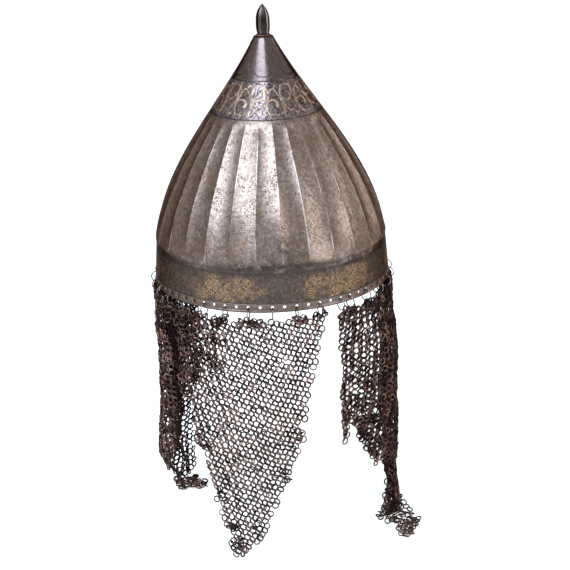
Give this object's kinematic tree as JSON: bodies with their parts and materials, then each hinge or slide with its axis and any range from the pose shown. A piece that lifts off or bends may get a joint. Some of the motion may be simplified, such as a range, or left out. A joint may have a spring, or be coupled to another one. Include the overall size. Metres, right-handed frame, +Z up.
{
  "type": "turban helmet",
  "caption": "Tall fluted steel helmet with a pointed bud finial and hanging mail panels for the neck and both sides of the head.",
  "frame": {"origin": "centre of the plane of the bowl's rim", "axes": "+Z up the bowl's axis to the finial, -Y towards the neck panel, which is the side that the picture shows"},
  "size_m": [0.2683, 0.237, 0.5175],
  "materials": {
    "bowl_steel": "aged grey-brown steel with fine pitting, light rust and worn gold ornament",
    "finial_steel": "dark aged steel",
    "rusty_iron": "rusty iron",
    "ring_iron": "dark worn iron wire",
    "mail_iron": "dark iron mail with some rusty rings"
  },
  "bodies": {
    "helmet": {"helmet_bowl": "bowl_steel", "finial": "finial_steel", "finial_washer": "rusty_iron", "tang_rove": "rusty_iron", "neck_hanger_rings": "ring_iron", "left_hanger_rings": "ring_iron", "right_hanger_rings": "ring_iron"},
    "neck_panel": {"neck_mail": "mail_iron"},
    "left_panel": {"left_mail": "mail_iron"},
    "right_panel": {"right_mail": "mail_iron"}
  },
  "joints": [
    {"name": "neck_panel_swing", "type": "hinge", "parent": "helmet", "child": "neck_panel", "pos_m": [-0.02461, -0.10875, -0.00665], "axis": [-0.9753, 0.2207, 0], "range_deg": [0, 45]},
    {"name": "left_panel_swing", "type": "hinge", "parent": "helmet", "child": "left_panel", "pos_m": [-0.10742, 0.00422, -0.00665], "axis": [0.0393, 0.9992, 0], "range_deg": [0, 45]},
    {"name": "right_panel_swing", "type": "hinge", "parent": "helmet", "child": "right_panel", "pos_m": [0.1067, -0.0306, -0.00665], "axis": [-0.2756, -0.9613, 0], "range_deg": [0, 45]}
  ]
}
